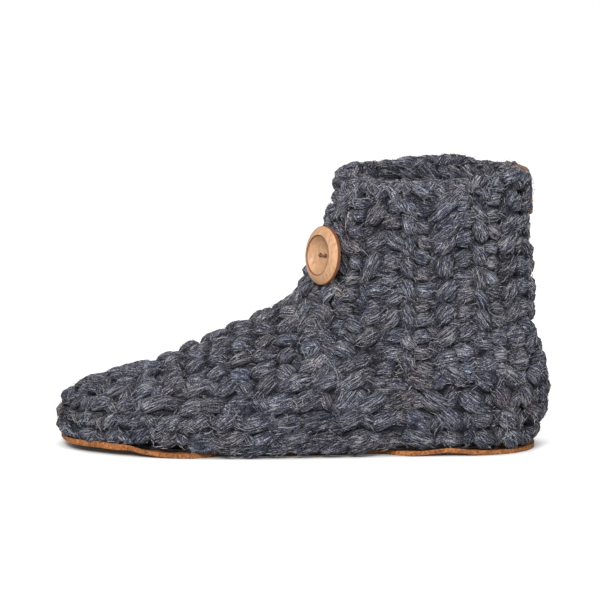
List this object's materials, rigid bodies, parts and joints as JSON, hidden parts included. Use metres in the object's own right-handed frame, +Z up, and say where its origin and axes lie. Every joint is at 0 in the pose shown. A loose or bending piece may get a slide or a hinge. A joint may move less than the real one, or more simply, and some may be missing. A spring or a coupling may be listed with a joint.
{
  "type": "wool slipper",
  "caption": "Crocheted wool ankle slipper with a thin leather sole, a turned wooden button on the shaft and a leather tab at the collar.",
  "frame": {"origin": "on the floor, under the middle of the slipper's box", "axes": "+X from the toe towards the heel, +Y towards the inner side of the left foot, +Z up"},
  "size_m": [0.258, 0.1062, 0.1476],
  "materials": {
    "tan_suede": "thin tan suede leather",
    "grey_felt": "pressed wool felt",
    "charcoal_wool": "thick crocheted wool, charcoal with lighter fibres",
    "beech_wood": "turned and oiled light wood",
    "dark_thread": "dark sewing thread",
    "brown_leather": "plain brown leather"
  },
  "bodies": {
    "root": {"sole": "tan_suede", "insole": "grey_felt", "upper": "charcoal_wool", "button": "beech_wood", "button_thread": "dark_thread", "collar_tab": "brown_leather"}
  },
  "joints": []
}
